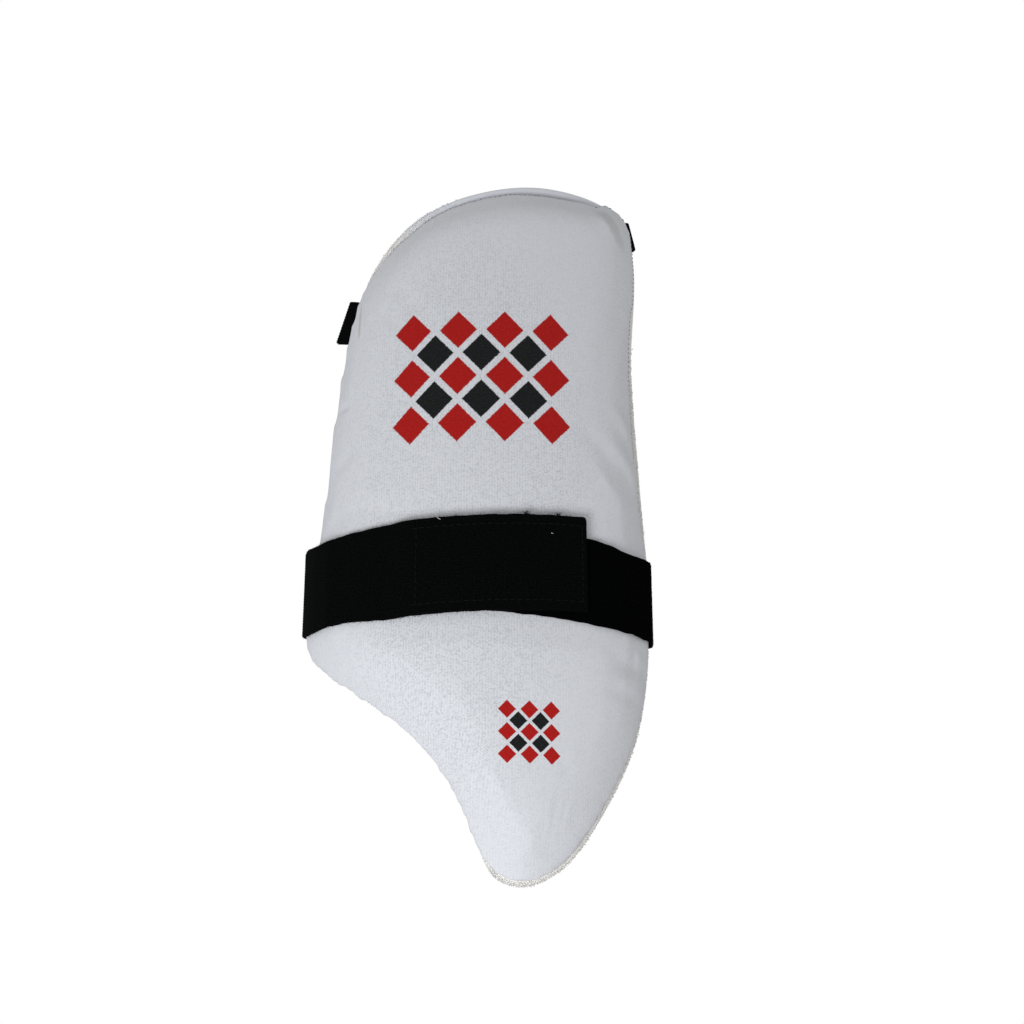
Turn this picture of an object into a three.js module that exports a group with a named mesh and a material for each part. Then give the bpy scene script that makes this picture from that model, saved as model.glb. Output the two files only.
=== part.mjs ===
// A cricket thigh guard, lying on its back with its padded face up.
// A white padded front is sewn to a towelling back whose rolled rim stands out past it. A wide elastic
// leg strap goes round the pad and closes on a loop tape, and a narrow waist strap runs behind the top.
// Millimetres. +Y runs from the knee end to the hip end, +X to the right as seen from the front, +Z up.
import * as THREE from "three";

// Driving sizes
const TOWELLING = 3; // thickness of the back panel
const ROLL_RADIUS = 3.2; // of the rolled rim round the back panel
const PAD_TOP = 22; // from the thigh to the face of the padding, away from the edges
const PAD_EDGE = 12; // the same where the edge's round ends and the bevel starts
const EDGE_ROUND = 4.6; // width of the round at the front panel's edge
const BEVEL = 24; // width of the slope from there up to the full padding
const SEAM_GAP = 0.3; // left between any two pieces that touch
const LEG_STRAP = { width: 50, thickness: 1.6 };
const LOOP_TAPE = { width: 45, thickness: 1.2 };
const HOOK_PATCH = { width: 42, thickness: 1 };
const WAIST_STRAP = { width: 25, thickness: 1.5 };

// The thigh that the back is moulded to: its radius and the height of its crown, from knee end to hip end.
const THIGH_FORM = [
  { along: -195, radius: 108, crown: 33 },
  { along: -45, radius: 118, crown: 40.5 },
  { along: 195, radius: 140, crown: 30.5 },
];
const THIGH_AXIS = 3.3; // its place to the right of the middle

// The flat pattern, anticlockwise from the top: its turning points, and how far the towelling's rim
// stands out past the front panel at each.
const OUTLINE = [
  { name: "top", across: 42, along: 205.8, rim: 5.5 },
  { name: "top rise", across: 3, along: 201, rim: 5 },
  { name: "shoulder", across: -35.5, along: 185, rim: 6 },
  { name: "shoulder foot", across: -59.5, along: 155, rim: 4 },
  { name: "left upper", across: -72, along: 111, rim: 1.5 },
  { name: "left middle", across: -78.5, along: 62, rim: 1 },
  { name: "left waist", across: -83, along: 10, rim: 1 },
  { name: "left widest", across: -92.5, along: -46, rim: 1 },
  { name: "left turn", across: -86.5, along: -64, rim: 1 },
  { name: "hollow start", across: -58, along: -86.5, rim: 1 },
  { name: "hollow", across: -28, along: -110, rim: 1 },
  { name: "hollow end", across: -8.5, along: -136, rim: 1 },
  { name: "tongue left", across: 3, along: -164.5, rim: 1.2 },
  { name: "tip left", across: 10, along: -178, rim: 2 },
  { name: "tip", across: 23.5, along: -182.5, rim: 2.5 },
  { name: "tip right", across: 42.5, along: -174, rim: 4 },
  { name: "tongue right", across: 66.5, along: -143.5, rim: 4.5 },
  { name: "right lower", across: 88.5, along: -101, rim: 4.5 },
  { name: "right widest", across: 97.4, along: -46, rim: 5 },
  { name: "right middle", across: 91.5, along: 40, rim: 6 },
  { name: "right upper", across: 88, along: 100, rim: 6 },
  { name: "right top", across: 91, along: 172, rim: 4 },
  { name: "corner", across: 80.5, along: 196.8, rim: 1.5 },
];
const OUTLINE_STEPS = 120;
const SPINE = [
  { along: -160, across: 25 },
  { along: -60, across: 4 },
  { along: 150, across: 14 },
];

// Soft folds in the front panel: the middle of each, its lean to the right going down, and its size.
// A ridge has a negative depth.
const FOLDS = [
  { name: "right drag above strap", across: 74, along: 28, lean: 24, length: 60, width: 9, depth: 1.4 },
  { name: "right drag higher", across: 70, along: 62, lean: 20, length: 50, width: 9, depth: 0.9 },
  { name: "left crease above strap", across: -63, along: 38, lean: -6, length: 70, width: 8, depth: 1.1 },
  { name: "right pucker under strap", across: 80, along: -68, lean: 82, length: 30, width: 6, depth: 1.2 },
  { name: "tip pucker", across: 34, along: -158, lean: -12, length: 30, width: 7, depth: 1 },
  { name: "tongue ridge", across: 6, along: -120, lean: 16, length: 70, width: 9, depth: -1.3 },
];
const FOLD_FADE = 6; // depth over which folds and press die out towards the edge
const STRAP_PRESS = 1.2; // how far the taut strap sinks the padding
const PRESS_FADE = 9;

// The leg strap's route: it leans up to the right over the front, and goes straight across behind.
const STRAP_ZONE = { low: -59, high: 2 }; // the stretch of the guard that it presses on
const STRAP_MIDDLE = -27.3;
const STRAP_RISE = 0.04;
const STRAP_LIFT = 0.5;
const TAPE_MIDDLE = -28;
const TAPE_RISE = -0.08;
const FREE_END = 55; // where the strap's closed end stops, to the right of the middle
const PATCH_START = -30;
const PATCH_INSET = 1; // from the strap's free end
const TAPE_START = -20;
const TAPE_TURN_UNDER = 34; // length of tape sewn behind the right edge
const STRAP_OVERLAP = 24; // of the strap and the tape behind
const STEP_UP = 16; // length over which the strap climbs onto the closing
const CORNER_STEP = THREE.MathUtils.degToRad(16); // of the strap's turn round a corner
const CORNER_SPACING = 0.5;
const LEAST_STEP = 0.3;
const FOOT_DROP = 0.1; // how far under the edges the strap's flat run lies
const LEFT_TUCK = 10; // how far in from the left edge the flat run ends
const RIGHT_TUCK = 2; // the same at the right edge

// The waist strap's tab at the left edge and the ends of its run behind, as places of the flat pattern.
const WAIST_TAB = { across: -69, along: 130, lean: 17, reach: 13, tuck: 26 };
const WAIST_RIGHT = { across: 92.3, along: 193 };
const WAIST_LEFT = { across: -48, along: 124 };
const WAIST_RISE = { start: 0.5, end: 0.9 };
const WAIST_FOLD = { radius: 2.15, turns: [180, 135, 90, 45] }; // outside of the fold at the right corner
const WAIST_SEWN = { depths: [16, 11, 6], gap: 0.6 }; // of the end that is sewn behind the rim

// The value of one column of a table at a place along the guard, straight between its rows.
function columnAt(rows, column, along) {
  const first = rows[0];
  const last = rows[rows.length - 1];
  const place = THREE.MathUtils.clamp(along, first.along, last.along);
  const next = Math.max(1, rows.findIndex((row) => row.along >= place));
  const [from, to] = [rows[next - 1], rows[next]];
  return THREE.MathUtils.mapLinear(place, from.along, to.along, from[column], to[column]);
}

// A point of the flat pattern, at a height off the thigh, bent round the thigh form.
function wrap({ across, along, height }) {
  const radius = columnAt(THIGH_FORM, "radius", along);
  const crown = columnAt(THIGH_FORM, "crown", along);
  const angle = (across - THIGH_AXIS) / radius;
  const reach = radius + height;
  const right = THIGH_AXIS + reach * Math.sin(angle);
  return new THREE.Vector3(right, along, crown - radius + reach * Math.cos(angle));
}

// The outline as evenly spaced points, each with its rim, its inward normal and the spine point it faces.
function outlinePoints() {
  const turns = OUTLINE.map(({ across, along, rim }) => new THREE.Vector3(across, along, rim));
  const curve = new THREE.CatmullRomCurve3(turns, true, "centripetal");
  const spaced = curve.getSpacedPoints(OUTLINE_STEPS).slice(0, OUTLINE_STEPS);
  return spaced.map((point, i) => {
    const before = spaced.at(i - 1);
    const after = spaced[(i + 1) % OUTLINE_STEPS];
    const tangent = new THREE.Vector2(after.x - before.x, after.y - before.y).normalize();
    const spineAlong = THREE.MathUtils.clamp(point.y, SPINE[0].along, SPINE.at(-1).along);
    return {
      place: new THREE.Vector2(point.x, point.y),
      rim: point.z,
      inward: new THREE.Vector2(-tangent.y, tangent.x),
      spine: new THREE.Vector2(columnAt(SPINE, "across", spineAlong), spineAlong),
    };
  });
}
const EDGE = outlinePoints();
const MEAN_RIM = 3; // what the rims on both sides fade to along the middle
const EDGE_ZONE = 14; // depth from the outline where rings stop following it and turn to the spine

// A place some depth in from the outline, square to it.
const inFromEdge = (edge, depth) => edge.place.clone().addScaledVector(edge.inward, depth);

// A place part of the way from the edge zone to the spine.
const towardsSpine = (edge, share) => inFromEdge(edge, EDGE_ZONE).lerp(edge.spine, share);

function distanceToOutline(place) {
  const line = new THREE.Line3();
  const point = new THREE.Vector3(place.x, place.y, 0);
  const near = new THREE.Vector3();
  let least = Infinity;
  EDGE.forEach((edge, i) => {
    const next = EDGE[(i + 1) % EDGE.length];
    line.start.set(edge.place.x, edge.place.y, 0);
    line.end.set(next.place.x, next.place.y, 0);
    least = Math.min(least, line.closestPointToPoint(point, true, near).distanceTo(point));
  });
  return least;
}

// How far the folds and the strap sink the face of the padding at a place.
function sunk(place) {
  const folds = FOLDS.map((fold) => {
    const lean = THREE.MathUtils.degToRad(fold.lean);
    const offset = place.clone().sub(new THREE.Vector2(fold.across, fold.along));
    const run = offset.x * Math.sin(lean) - offset.y * Math.cos(lean);
    const side = offset.x * Math.cos(lean) + offset.y * Math.sin(lean);
    const reach = 2 * run / fold.length;
    return fold.depth * Math.exp(-(reach ** 2) - (side / fold.width) ** 2);
  });
  const intoStrap = Math.min(place.y - STRAP_ZONE.low, STRAP_ZONE.high - place.y);
  const press = STRAP_PRESS * THREE.MathUtils.smoothstep(intoStrap, -PRESS_FADE, 0);
  return folds.reduce((sum, depth) => sum + depth, press);
}

// Height of the face of the padding at a place that is some depth in from the front panel's own edge.
function faceHeight(place, depth) {
  const slope = Math.sin(THREE.MathUtils.clamp(depth / BEVEL, 0, 1) * Math.PI / 2);
  return PAD_EDGE + (PAD_TOP - PAD_EDGE) * slope - sunk(place) * Math.min(1, depth / FOLD_FADE);
}

// Triangles across a ring, zipped up from its first point by the shorter way over each time.
function zip(ring) {
  const triangles = [];
  let [left, right] = [0, ring.length - 1];
  while (right - left > 1) {
    const onLeft = ring[left + 1].distanceTo(ring[right]) < ring[left].distanceTo(ring[right - 1]);
    triangles.push([left, onLeft ? left + 1 : right - 1, right]);
    if (onLeft) left += 1;
    else right -= 1;
  }
  return triangles;
}

// A closed solid through rings of points, with its two end rings filled.
function loft(rings) {
  const count = rings[0].length;
  const last = (rings.length - 1) * count;
  const faces = [];
  for (let start = 0; start < last; start += count) {
    for (let i = 0; i < count; i++) {
      const [a, b] = [start + i, start + (i + 1) % count];
      faces.push(a, b, b + count, a, b + count, a + count);
    }
  }
  for (const [a, b, c] of zip(rings[0])) faces.push(a, c, b);
  for (const triangle of zip(rings.at(-1))) faces.push(...triangle.map((i) => last + i));
  const geometry = new THREE.BufferGeometry();
  const positions = rings.flat().flatMap((point) => point.toArray());
  geometry.setAttribute("position", new THREE.Float32BufferAttribute(positions, 3));
  geometry.setIndex(faces);
  geometry.computeVertexNormals();
  return geometry;
}

// A ring round the pad, given what each outline point becomes: a place and a height.
const ring = (make) => EDGE.map((edge) => {
  const { place, height } = make(edge);
  return wrap({ across: place.x, along: place.y, height });
});
const level = (placeOf, height) => ring((edge) => ({ place: placeOf(edge), height }));

const HIDDEN_SHARES = [0.93, 0.7, 0.36, 0]; // rings of the faces that meet inside
const SHOWN_SHARES = [0.93, 0.78, 0.62, 0.46, 0.3, 0.14, 0];

// The towelling back panel, whose rim is rolled up round the edge.
function towellingBack() {
  const rollTurns = [-90, -50, -10, 30, 65, 100, 140];
  const rings = [
    ...SHOWN_SHARES.map((share) => level((edge) => towardsSpine(edge, share), 0)),
    ...rollTurns.map((degrees) => {
      const turn = THREE.MathUtils.degToRad(degrees);
      const depth = ROLL_RADIUS * (1 - Math.cos(turn));
      return level((edge) => inFromEdge(edge, depth), ROLL_RADIUS * (1 + Math.sin(turn)));
    }),
    level((edge) => inFromEdge(edge, 2 * ROLL_RADIUS), TOWELLING),
    ...HIDDEN_SHARES.toReversed().map((share) => level((edge) => towardsSpine(edge, share), TOWELLING)),
  ];
  return loft(rings);
}

// The padded front: a flat underside on the towelling, a rounded edge inside the rim, a bevel, a full face.
// Its side's rows give how deep from the outline each ring lies at least, and how far past the rim.
function paddedFront() {
  const under = TOWELLING + SEAM_GAP;
  const rollClear = 2 * ROLL_RADIUS + SEAM_GAP;
  const sides = [
    { least: rollClear, pastRim: 0.6, height: under },
    { least: rollClear, pastRim: 0.3, height: 5.2 },
    { least: 4.6, pastRim: 0.2, height: 7 },
    { least: 0, pastRim: 0, height: 8 },
    { least: 0, pastRim: 0.6, height: 9.8 },
    { least: 0, pastRim: 2.2, height: 11.3 },
  ];
  const inFromRim = (edge, { least, pastRim }) => inFromEdge(edge, Math.max(least, edge.rim + pastRim));
  const face = (placeOf, share) => ring((edge) => {
    const place = placeOf(edge);
    const rim = THREE.MathUtils.lerp(edge.rim, MEAN_RIM, share);
    return { place, height: faceHeight(place, distanceToOutline(place) - rim - EDGE_ROUND) };
  });
  const rings = [
    ...HIDDEN_SHARES.map((share) => level((edge) => towardsSpine(edge, share), under)),
    ...sides.map((side) => level((edge) => inFromRim(edge, side), side.height)),
    face((edge) => inFromEdge(edge, edge.rim + EDGE_ROUND), 0),
    ...SHOWN_SHARES.toReversed().map((share) => face((edge) => towardsSpine(edge, share), share)),
  ];
  return loft(rings);
}

// The points where a piece lies between two places along the guard, seen from its end.
function sectionPoints(geometry, zone) {
  const position = geometry.getAttribute("position");
  const at = (i) => new THREE.Vector3().fromBufferAttribute(position, i);
  const inside = (point) => point.y >= zone.low && point.y <= zone.high;
  const found = [];
  const index = geometry.getIndex();
  for (let i = 0; i < index.count; i++) {
    const nextInFace = i % 3 === 2 ? i - 2 : i + 1;
    const [start, end] = [at(index.getX(i)), at(index.getX(nextInFace))];
    if (inside(start)) found.push(start);
    for (const limit of [zone.low, zone.high]) {
      if ((start.y - limit) * (end.y - limit) < 0) {
        found.push(start.clone().lerp(end, (limit - start.y) / (end.y - start.y)));
      }
    }
  }
  return found.map((point) => new THREE.Vector2(point.x, point.z));
}

// The convex outline of some points, clockwise from the right end of its flat bottom.
function tautOutline(points) {
  const lowest = (side) => points.filter((point) => side * point.x > 0).reduce((a, b) => (b.y < a.y ? b : a));
  const [right, left] = [lowest(1), lowest(-1)];
  const bottom = Math.min(right.y, left.y) - FOOT_DROP;
  const rightFoot = new THREE.Vector2(right.x - RIGHT_TUCK, bottom);
  const leftFoot = new THREE.Vector2(left.x + LEFT_TUCK, bottom);
  const sorted = [...points, rightFoot, leftFoot].sort((a, b) => a.x - b.x || a.y - b.y);
  const turnsRight = (list) => {
    const chain = [];
    for (const point of list) {
      while (chain.length > 1) {
        const [a, b] = chain.slice(-2);
        if (b.clone().sub(a).cross(point.clone().sub(b)) < 0) break;
        chain.pop();
      }
      chain.push(point);
    }
    return chain.slice(0, -1);
  };
  const hull = [...turnsRight(sorted), ...turnsRight(sorted.toReversed())];
  const spread = hull.filter((point, i) => point === rightFoot || point === leftFoot
    || point.distanceTo(hull.at(i - 1)) > CORNER_SPACING);
  const start = spread.indexOf(rightFoot);
  return [...spread.slice(start), ...spread.slice(0, start)];
}

// The route of a taut band round that outline: stops with the way each faces, and the length up to each.
function tautRoute(outline) {
  const facing = (from, to) => Math.atan2(to.x - from.x, from.y - to.y);
  const stops = outline.flatMap((corner, i) => {
    const start = facing(outline.at(i - 1), corner);
    const end = facing(corner, outline[(i + 1) % outline.length]);
    const turn = THREE.MathUtils.euclideanModulo(start - end, 2 * Math.PI);
    const steps = Math.floor(turn / CORNER_STEP);
    const shares = steps === 0 ? [0.5] : Array.from({ length: steps + 1 }, (_, step) => step / steps);
    return shares.map((share) => {
      const way = start - turn * share;
      return { corner, normal: new THREE.Vector2(Math.cos(way), Math.sin(way)) };
    });
  });
  const outside = (stop) => stop.corner.clone().addScaledVector(stop.normal, LEG_STRAP.thickness);
  stops.forEach((stop, i) => {
    stop.along = i === 0 ? 0 : stops[i - 1].along + outside(stop).distanceTo(outside(stops[i - 1]));
  });
  const length = stops.at(-1).along + outside(stops.at(-1)).distanceTo(outside(stops[0]));
  return { stops, length, bottom: outline[0].y };
}

// The stop at any length along the route, which goes on round after a full turn.
function stopAt({ stops, length }, along) {
  const place = THREE.MathUtils.euclideanModulo(along, length);
  const i = stops.findLastIndex((stop) => stop.along <= place);
  const [from, to] = [stops[i], stops[(i + 1) % stops.length]];
  const end = i + 1 === stops.length ? length : to.along;
  const share = THREE.MathUtils.inverseLerp(from.along, end, place);
  return {
    corner: from.corner.clone().lerp(to.corner, share),
    normal: from.normal.clone().lerp(to.normal, share).normalize(),
  };
}

// The length along the route to the place on the front that is some way right of the middle.
function lengthToFront({ stops }, right) {
  const passes = (stop, i) => i > 0 && stops[i - 1].corner.x <= right && stop.corner.x > right;
  const next = stops.findIndex(passes);
  const [from, to] = [stops[next - 1], stops[next]];
  return THREE.MathUtils.mapLinear(right, from.corner.x, to.corner.x, from.along, to.along);
}

// A flat band along part of the route. The rows of lifts give its gap to the outline at lengths along it.
function band(route, { width, thickness }, lifts, middleAt) {
  const [start, end] = [lifts[0].along, lifts.at(-1).along];
  const laps = [...route.stops, ...route.stops.map((stop) => ({ along: stop.along + route.length }))];
  const between = laps.map((stop) => stop.along).filter((along) => along > start && along < end);
  const places = [...between, ...lifts.map((row) => row.along)].sort((a, b) => a - b);
  const apart = (along, i) => i === 0 || along - places[i - 1] > LEAST_STEP || along === end;
  const stations = places.filter(apart);
  const section = [[-0.5, 0], [0.5, 0], [0.5, 1], [-0.5, 1]];
  const rings = stations.map((along) => {
    const { corner, normal } = stopAt(route, along);
    const lift = columnAt(lifts, "lift", along);
    return section.map(([side, out]) => {
      const place = corner.clone().addScaledVector(normal, lift + out * thickness);
      return new THREE.Vector3(place.x, middleAt(along, corner.x) + side * width, place.y);
    });
  });
  return loft(rings);
}

// The layers of the leg strap's closing, from the pad out, and the height of the floor under them.
function legBands(route) {
  const tapeLift = SEAM_GAP;
  const patchLift = tapeLift + LOOP_TAPE.thickness + SEAM_GAP;
  const overLift = patchLift + HOOK_PATCH.thickness + SEAM_GAP;
  const onFront = (right) => lengthToFront(route, right);
  const leftFold = Math.min(...route.stops.map((stop) => stop.corner.x));
  const foldLength = onFront(leftFold);
  const footLength = route.stops.find((stop) => stop.corner !== route.stops[0].corner).along;
  const rightFold = Math.max(...route.stops.map((stop) => stop.corner.x));
  const edgeLength = onFront(rightFold - LEAST_STEP);
  const strapOver = (right) => STRAP_MIDDLE + STRAP_RISE * right;
  const tapeOver = (right) => TAPE_MIDDLE + TAPE_RISE * right;
  const strapMiddle = (along, right) => (along > foldLength ? strapOver(right)
    : THREE.MathUtils.mapLinear(along, 0, foldLength, tapeOver(rightFold), strapOver(leftFold)));
  const tapeMiddle = (along, right) => tapeOver(along > edgeLength ? rightFold : right);
  const strapLifts = [
    { along: TAPE_TURN_UNDER - STRAP_OVERLAP, lift: patchLift },
    { along: footLength, lift: patchLift },
    { along: foldLength, lift: STRAP_LIFT },
    { along: onFront(PATCH_START - STEP_UP), lift: STRAP_LIFT },
    { along: onFront(PATCH_START - SEAM_GAP), lift: overLift },
    { along: onFront(FREE_END), lift: overLift },
  ];
  const tapeLifts = [
    { along: onFront(TAPE_START), lift: tapeLift },
    { along: route.length + TAPE_TURN_UNDER, lift: tapeLift },
  ];
  const patchLifts = [
    { along: onFront(PATCH_START), lift: patchLift },
    { along: onFront(FREE_END - PATCH_INSET), lift: patchLift },
  ];
  return {
    leg_strap: band(route, LEG_STRAP, strapLifts, strapMiddle),
    loop_tape: band(route, LOOP_TAPE, tapeLifts, tapeMiddle),
    hook_patch: band(route, HOOK_PATCH, patchLifts, strapMiddle),
    floor: route.bottom - patchLift - LEG_STRAP.thickness,
  };
}

// Rings of a straight strip of the flat pattern under the back panel, settled by a rule where it leaves it.
function backRings({ from, to, width, thickness, under, steps, settle }) {
  const run = to.clone().sub(from);
  const side = new THREE.Vector2(-run.y, run.x).normalize();
  const section = [[-0.5, 1], [0.5, 1], [0.5, 0], [-0.5, 0]];
  return Array.from({ length: steps + 1 }, (_, step) => section.map(([across, out]) => {
    const place = from.clone().addScaledVector(run, step / steps).addScaledVector(side, across * width);
    const below = (depth) => wrap({ across: place.x, along: place.y, height: -under - depth });
    const point = below(out * thickness);
    return settle ? settle(point, below(0), step / steps, (1 - out) * thickness) : point;
  }));
}

// The folded tab at the left edge, square to it.
function waistTab() {
  const lean = THREE.MathUtils.degToRad(WAIST_TAB.lean);
  const out = new THREE.Vector2(-Math.cos(lean), Math.sin(lean));
  const edge = new THREE.Vector2(WAIST_TAB.across, WAIST_TAB.along);
  return loft(backRings({
    from: edge.clone().addScaledVector(out, -WAIST_TAB.tuck),
    to: edge.clone().addScaledVector(out, WAIST_TAB.reach),
    width: WAIST_STRAP.width,
    thickness: 2 * WAIST_STRAP.thickness,
    under: SEAM_GAP,
    steps: 6,
  }));
}

// A point some way below the back panel, straight under or over a place.
function behindPanel(place, gap) {
  const radius = columnAt(THIGH_FORM, "radius", place.y);
  const crown = columnAt(THIGH_FORM, "crown", place.y);
  const angle = Math.asin((place.x - THIGH_AXIS) / (radius - gap));
  return place.clone().setZ(crown - radius + (radius - gap) * Math.cos(angle));
}

// The waist strap: sewn behind the right corner, folded under there, slack on the floor and rising to the tab.
function waistStrap(floor) {
  const { width, thickness } = WAIST_STRAP;
  const laid = backRings({
    from: new THREE.Vector2(WAIST_RIGHT.across, WAIST_RIGHT.along),
    to: new THREE.Vector2(WAIST_LEFT.across, WAIST_LEFT.along),
    width,
    thickness,
    under: 2 * SEAM_GAP + 2 * thickness,
    steps: 16,
    settle: (point, above, share, up) => {
      const rise = THREE.MathUtils.smoothstep(share, WAIST_RISE.start, WAIST_RISE.end);
      return above.clone().setZ(floor + up).lerp(point, rise);
    },
  });
  const [upper, lower] = [laid[0][3], laid[0][2]];
  const outward = new THREE.Vector3(upper.y - lower.y, lower.x - upper.x, 0).normalize();
  const section = [[upper, 1], [lower, 1], [lower, 0], [upper, 0]];
  const sewn = WAIST_SEWN.depths.map((depth) => section.map(([corner, out]) => {
    const place = corner.clone().addScaledVector(outward, -depth);
    return behindPanel(place, WAIST_SEWN.gap + (1 - out) * thickness);
  }));
  const fold = WAIST_FOLD.turns.map((degrees) => section.map(([corner, out]) => {
    const turn = THREE.MathUtils.degToRad(degrees);
    const radius = WAIST_FOLD.radius - (1 - out) * thickness;
    const place = corner.clone().addScaledVector(outward, radius * Math.sin(turn));
    return place.setZ(floor + WAIST_FOLD.radius - radius * Math.cos(turn));
  }));
  return loft([...sewn, ...fold, ...laid]);
}

// The finished guard, with its origin under the middle of its box.
const cloth = { color: 0xdfe1e4, roughness: 0.9, metalness: 0 };
const towelling = { color: 0xe6e3da, roughness: 1, metalness: 0 };
const elastic = { color: 0x0a0b0b, roughness: 0.85, metalness: 0 };
const pile = { color: 0x050606, roughness: 1, metalness: 0 };

function guard() {
  const front = paddedFront();
  const back = towellingBack();
  const around = [...sectionPoints(front, STRAP_ZONE), ...sectionPoints(back, STRAP_ZONE)];
  const leg = legBands(tautRoute(tautOutline(around)));
  const pieces = [
    { name: "padded_front", geometry: front, finish: cloth },
    { name: "towelling_back", geometry: back, finish: towelling },
    { name: "leg_strap", geometry: leg.leg_strap, finish: elastic },
    { name: "loop_tape", geometry: leg.loop_tape, finish: pile },
    { name: "hook_patch", geometry: leg.hook_patch, finish: pile },
    { name: "waist_tab", geometry: waistTab(), finish: elastic },
    { name: "waist_strap", geometry: waistStrap(leg.floor), finish: elastic },
  ];
  const laid = new THREE.Group();
  for (const { name, geometry, finish } of pieces) {
    const mesh = new THREE.Mesh(geometry, new THREE.MeshStandardMaterial(finish));
    mesh.name = name;
    laid.add(mesh);
  }
  const box = new THREE.Box3().setFromObject(laid);
  const centre = box.getCenter(new THREE.Vector3());
  laid.position.set(-centre.x, -centre.y, -box.min.z);
  return new THREE.Group().add(laid);
}

export default guard();
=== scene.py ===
# A cricket thigh guard, lying on its back with its padded face up: a white padded front, a towelling back
# with a rolled rim, a wide elastic leg strap closed on loop tape, and a narrow waist strap behind.
import math
from itertools import permutations

import bmesh
import bpy
import numpy as np
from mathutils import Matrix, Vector
from mathutils.bvhtree import BVHTree
from mathutils.kdtree import KDTree


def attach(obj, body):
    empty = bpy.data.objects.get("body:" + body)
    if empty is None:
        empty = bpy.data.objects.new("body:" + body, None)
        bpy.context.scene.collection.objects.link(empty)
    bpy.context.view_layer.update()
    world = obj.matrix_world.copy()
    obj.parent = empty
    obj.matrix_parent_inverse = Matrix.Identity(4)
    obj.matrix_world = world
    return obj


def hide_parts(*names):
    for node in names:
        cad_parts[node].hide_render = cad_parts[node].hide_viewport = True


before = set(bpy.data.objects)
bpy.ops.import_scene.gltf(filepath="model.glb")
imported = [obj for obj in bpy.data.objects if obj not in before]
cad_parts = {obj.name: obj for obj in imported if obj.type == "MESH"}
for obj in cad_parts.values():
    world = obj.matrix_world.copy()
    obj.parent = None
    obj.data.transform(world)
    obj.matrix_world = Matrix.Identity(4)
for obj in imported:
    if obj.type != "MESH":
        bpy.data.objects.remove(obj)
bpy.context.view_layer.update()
MM = 0.001

# The studio: a camera on a stand at the knee end, well above the table, with a 60 mm lens. One large soft
# light stands at the lower left, and a pale room fills in the rest, brightest at its horizon. The table is
# a plain white ground that neither lights the guard nor takes its shadow.
CAMERA_AIM = Vector((17.9, 2.2, 23.5)) * MM
CAMERA_TILT = math.radians(20)
CAMERA_DISTANCE = 900 * MM
CAMERA_LENS = 60
CAMERA_SENSOR = 36
KEY_LIGHT_PLACE = CAMERA_AIM + Vector((-270, -540, 700)) * MM
KEY_LIGHT_SIZE = 360 * MM
KEY_LIGHT_WATTS = 4.55
KEY_LIGHT_COLOUR = "#f8fbff"
ROOM_COLOUR = "#f8f9fb"
ROOM_LIGHT = 0.5
HORIZON_LIGHT = 1
HORIZON_REACH = 0.24
FLOOR_SIDE = 16
FLOOR_DROP = 0.3 * MM


def colour(code):
    """Linear red, green, blue and alpha of an sRGB hex colour."""
    parts = [int(code[i:i + 2], 16) / 255 for i in (1, 3, 5)]
    linear = [part / 12.92 if part <= 0.04045 else ((part + 0.055) / 1.055) ** 2.4 for part in parts]
    return (*linear, 1)


def add(tree, kind, inputs=None, **settings):
    """A shader node with its settings, its inputs set to values or linked to other nodes' outputs."""
    made = tree.nodes.new("ShaderNode" + kind)
    for name, value in settings.items():
        setattr(made, name, value)
    for name, value in (inputs or {}).items():
        if isinstance(value, bpy.types.NodeSocket):
            tree.links.new(value, made.inputs[name])
        else:
            made.inputs[name].default_value = value
    return made


def new_material(name):
    """An empty material, with its nodes and its shader."""
    made = bpy.data.materials.new(name)
    made.use_nodes = True
    return made, made.node_tree, made.node_tree.nodes["Principled BSDF"]


bpy.ops.object.select_all(action="DESELECT")
back_from_aim = Vector((0, -math.sin(CAMERA_TILT), math.cos(CAMERA_TILT)))
camera_place = CAMERA_AIM + CAMERA_DISTANCE * back_from_aim
bpy.ops.object.camera_add(location=camera_place, rotation=(CAMERA_TILT, 0, 0))
camera = bpy.context.object
camera.data.sensor_width = CAMERA_SENSOR
camera.data.lens = CAMERA_LENS
bpy.context.scene.camera = camera

bpy.ops.object.light_add(type="AREA", location=KEY_LIGHT_PLACE)
key_light = bpy.context.object
key_light.data.size = KEY_LIGHT_SIZE
key_light.data.energy = KEY_LIGHT_WATTS
key_light.data.color = colour(KEY_LIGHT_COLOUR)[:3]
key_light.rotation_euler = (CAMERA_AIM - KEY_LIGHT_PLACE).to_track_quat("-Z", "Y").to_euler()

room = bpy.data.worlds.new("pale_room")
room.use_nodes = True
room.node_tree.nodes["Background"].inputs["Color"].default_value = colour(ROOM_COLOUR)
heading = add(room.node_tree, "TexCoord").outputs["Generated"]
upward = add(room.node_tree, "SeparateXYZ", {"Vector": heading}).outputs["Z"]
off_horizon = add(room.node_tree, "Math", {0: upward}, operation="ABSOLUTE").outputs[0]
room_light = add(room.node_tree, "MapRange", {"Value": off_horizon, "From Max": HORIZON_REACH,
                                              "To Min": HORIZON_LIGHT, "To Max": ROOM_LIGHT})
room.node_tree.links.new(room_light.outputs[0], room.node_tree.nodes["Background"].inputs["Strength"])
bpy.context.scene.world = room
bpy.context.scene.view_settings.view_transform = "Standard"

bpy.ops.mesh.primitive_plane_add(size=FLOOR_SIDE, location=(0, 0, -FLOOR_DROP))
floor = bpy.context.object
floor.name = "floor"
table_top, tree, shader = new_material("matt_white_table")
shader.inputs["Base Color"].default_value = colour("#000000")
shader.inputs["Specular IOR Level"].default_value = 0
shader.inputs["Emission Color"].default_value = colour("#ffffff")
shader.inputs["Emission Strength"].default_value = 1
floor.data.materials.append(table_top)
floor.visible_diffuse = floor.visible_glossy = floor.visible_shadow = False

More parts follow.
